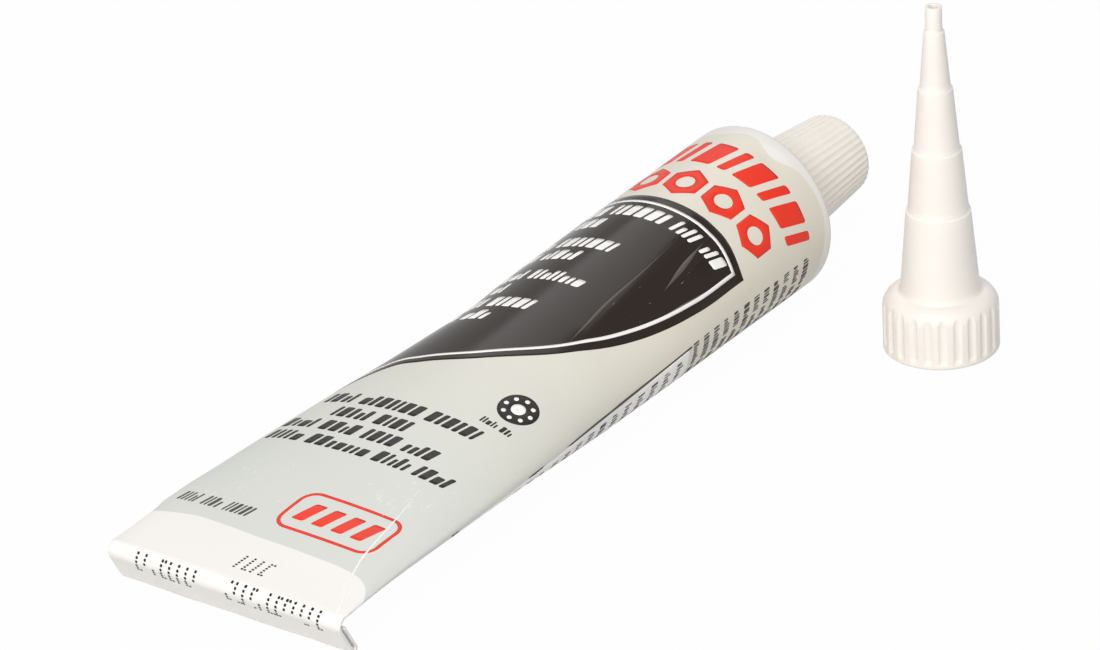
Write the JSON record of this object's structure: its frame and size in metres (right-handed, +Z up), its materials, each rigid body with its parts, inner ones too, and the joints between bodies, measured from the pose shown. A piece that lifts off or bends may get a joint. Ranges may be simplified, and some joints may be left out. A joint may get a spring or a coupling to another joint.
{
  "type": "gasket sealant tube",
  "caption": "Collapsible metal tube of gasket sealant lying with a crimped, folded tail, a ribbed screw cap on its neck and a stepped applicator nozzle standing beside it.",
  "frame": {"origin": "on the floor, below the middle of the whole row's box", "axes": "+X along the tube from the folded tail to the cap, +Z up, nozzle on the -Y side"},
  "size_m": [0.1528, 0.0654, 0.057],
  "materials": {
    "tube_lacquer": "satin",
    "cap_plastic": "matte",
    "nozzle_plastic": "matte"
  },
  "bodies": {
    "tube": {"tube_body": "tube_lacquer", "nozzle": "nozzle_plastic"},
    "cap": {"screw_cap": "cap_plastic"}
  },
  "joints": [
    {"name": "cap_pull", "type": "slide", "parent": "tube", "child": "cap", "axis": [0.9979, 0, 0.0645], "range_m": [0, 0.025]}
  ]
}
